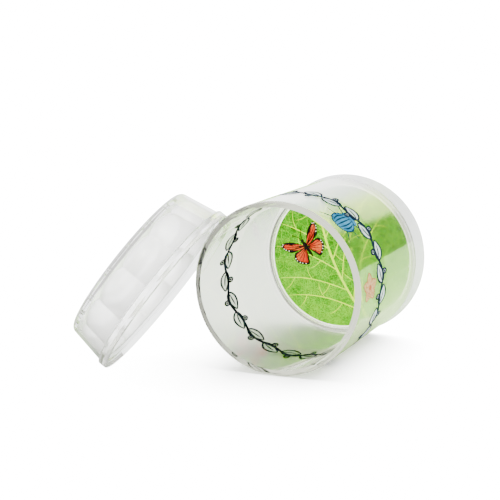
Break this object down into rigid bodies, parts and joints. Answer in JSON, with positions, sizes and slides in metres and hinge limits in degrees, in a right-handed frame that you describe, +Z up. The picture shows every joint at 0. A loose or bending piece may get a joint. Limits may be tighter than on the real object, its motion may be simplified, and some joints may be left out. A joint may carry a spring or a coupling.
{
  "type": "bug catcher jar",
  "caption": "Clear bug catcher jar lying on its side with a printed leaf floor and border, and its clear fluted lid taken off and leaning on it.",
  "frame": {"origin": "centre of the jar's mouth, in the plane of its rim; the jar lies on its side, so the surface it lies on is one rim radius, 38 mm, below the origin", "axes": "+Y along the jar from the mouth to the foot, +Z up, and the lid leans on the jar's -X side"},
  "size_m": [0.1271, 0.1409, 0.0768],
  "materials": {
    "clear_jar": "clear, polished moulding",
    "milky_cap": "milky translucent, satin",
    "printed_card": "printed card behind the clear floor",
    "border_ink": "dark teal and navy ink",
    "beetle_ink": "blue ink",
    "blossom_ink": "pale orange ink",
    "clear_lid": "clear, polished moulding",
    "flute_plastic": "faintly milky translucent"
  },
  "bodies": {
    "jar": {"jar_body": "clear_jar", "base_cap": "milky_cap", "leaf_card": "printed_card", "border_print": "border_ink", "beetle_print": "beetle_ink", "blossom_print": "blossom_ink"},
    "lid": {"lid_shell": "clear_lid", "flute_ring": "flute_plastic"}
  },
  "joints": [
    {"name": "lid_pull", "type": "slide", "parent": "jar", "child": "lid", "axis": [-0.7956, -0.1218, 0.5934], "range_m": [0, 0.06]}
  ]
}
